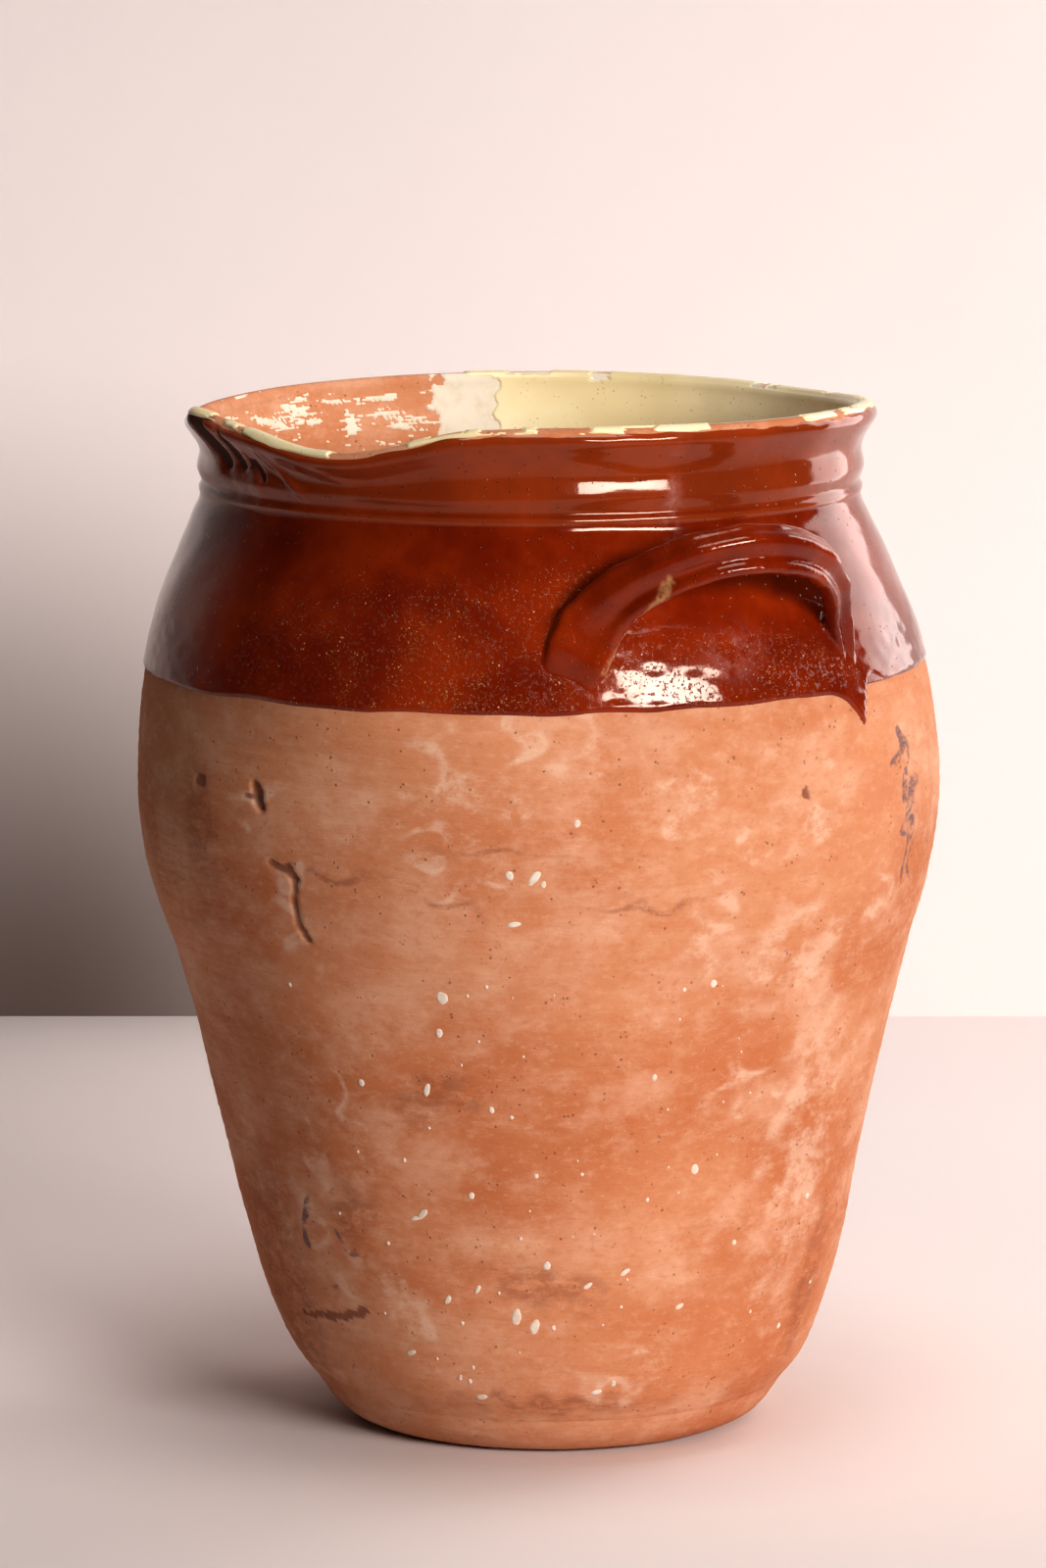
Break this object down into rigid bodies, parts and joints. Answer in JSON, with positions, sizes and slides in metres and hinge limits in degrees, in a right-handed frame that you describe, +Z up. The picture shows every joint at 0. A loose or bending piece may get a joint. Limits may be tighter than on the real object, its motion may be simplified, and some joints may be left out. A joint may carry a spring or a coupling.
{
  "type": "earthenware storage crock",
  "caption": "Tall half-glazed earthenware crock with a full belly, a small foot, a rolled collar pinched into a pouring lip, and strap handles on the shoulder.",
  "frame": {"origin": "centre of the foot's underside", "axes": "+Z up the pot's axis, the two handles at +X and -X, the pouring lip 6 degrees round from -Y towards -X"},
  "size_m": [0.3592, 0.312, 0.4],
  "materials": {
    "clay": "matt fired clay",
    "red_glaze": "glossy red-brown glaze",
    "cream_glaze": "satin cream glaze",
    "white_slip": "dry white slip"
  },
  "bodies": {
    "root": {"base_disc": "clay", "lower_wall": "clay", "upper_wall": "clay", "neck_collar": "clay", "handle_right": "red_glaze", "handle_left": "red_glaze", "outer_glaze": "red_glaze", "inner_slip": "white_slip", "inner_glaze": "cream_glaze"}
  },
  "joints": []
}
